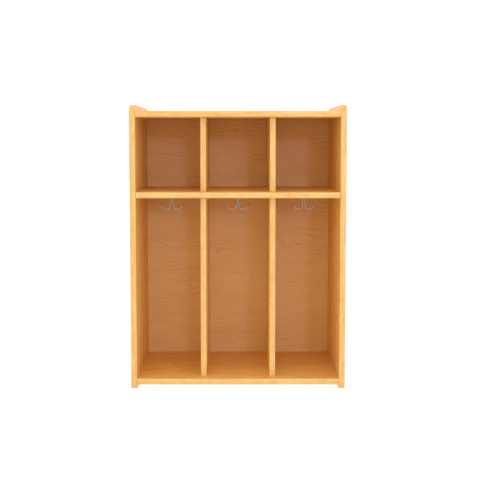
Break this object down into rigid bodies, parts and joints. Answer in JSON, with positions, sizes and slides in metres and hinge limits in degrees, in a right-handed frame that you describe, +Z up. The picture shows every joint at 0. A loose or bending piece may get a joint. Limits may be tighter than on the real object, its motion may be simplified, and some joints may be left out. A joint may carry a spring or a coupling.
{
  "type": "school locker",
  "caption": "Open wooden school locker: small cubbies above a shelf, tall coat compartments below it, and a double-prong hook in each compartment.",
  "frame": {"origin": "on the floor, under the middle of the case", "axes": "+Z up, +Y from the open front to the back, +X to the right as seen from the front"},
  "size_m": [0.69, 0.381, 0.9144],
  "materials": {
    "maple_board": "maple veneer, satin clear coat",
    "maple_edge": "solid maple edge band, satin clear coat",
    "maple_back": "rotary-cut maple plywood, satin clear coat",
    "beech_dowel": "raw",
    "zinc_screw": "zinc plated",
    "nickel_hook": "nickel plated, satin"
  },
  "bodies": {
    "root": {"back_panel": "maple_back", "bottom_edge_band": "maple_edge", "bottom_panel": "maple_board", "bottom_to_left_divider_front_screw": "zinc_screw", "bottom_to_left_divider_rear_screw": "zinc_screw", "bottom_to_right_divider_front_screw": "zinc_screw", "bottom_to_right_divider_rear_screw": "zinc_screw", "cubby_shelf": "maple_board", "left_hook_front_screw": "zinc_screw", "left_hook_left_prong": "nickel_hook", "left_hook_plate": "nickel_hook", "left_hook_rear_screw": "zinc_screw", "left_hook_right_prong": "nickel_hook", "left_side_bottom_front_screw": "zinc_screw", "left_side_bottom_rear_screw": "zinc_screw", "left_side_edge_band": "maple_edge", "left_side_panel": "maple_board", "left_side_shelf_front_screw": "zinc_screw", "left_side_shelf_rear_screw": "zinc_screw", "left_side_top_front_screw": "zinc_screw", "left_side_top_rear_screw": "zinc_screw", "lower_left_divider": "maple_board", "lower_left_divider_edge_band": "maple_edge", "lower_right_divider": "maple_board", "lower_right_divider_edge_band": "maple_edge", "middle_hook_front_screw": "zinc_screw", "middle_hook_left_prong": "nickel_hook", "middle_hook_plate": "nickel_hook", "middle_hook_rear_screw": "zinc_screw", "middle_hook_right_prong": "nickel_hook", "right_hook_front_screw": "zinc_screw", "right_hook_left_prong": "nickel_hook", "right_hook_plate": "nickel_hook", "right_hook_rear_screw": "zinc_screw", "right_hook_right_prong": "nickel_hook", "right_side_bottom_front_screw": "zinc_screw", "right_side_bottom_rear_screw": "zinc_screw", "right_side_edge_band": "maple_edge", "right_side_panel": "maple_board", "right_side_shelf_front_screw": "zinc_screw", "right_side_shelf_rear_screw": "zinc_screw", "right_side_top_front_screw": "zinc_screw", "right_side_top_rear_screw": "zinc_screw", "shelf_edge_band": "maple_edge", "shelf_left_front_dowel": "beech_dowel", "shelf_left_rear_dowel": "beech_dowel", "shelf_right_front_dowel": "beech_dowel", "shelf_right_rear_dowel": "beech_dowel", "top_edge_band": "maple_edge", "top_panel": "maple_board", "top_to_left_divider_front_screw": "zinc_screw", "top_to_left_divider_rear_screw": "zinc_screw", "top_to_right_divider_front_screw": "zinc_screw", "top_to_right_divider_rear_screw": "zinc_screw", "upper_left_divider": "maple_board", "upper_left_divider_edge_band": "maple_edge", "upper_right_divider": "maple_board", "upper_right_divider_edge_band": "maple_edge"}
  },
  "joints": []
}
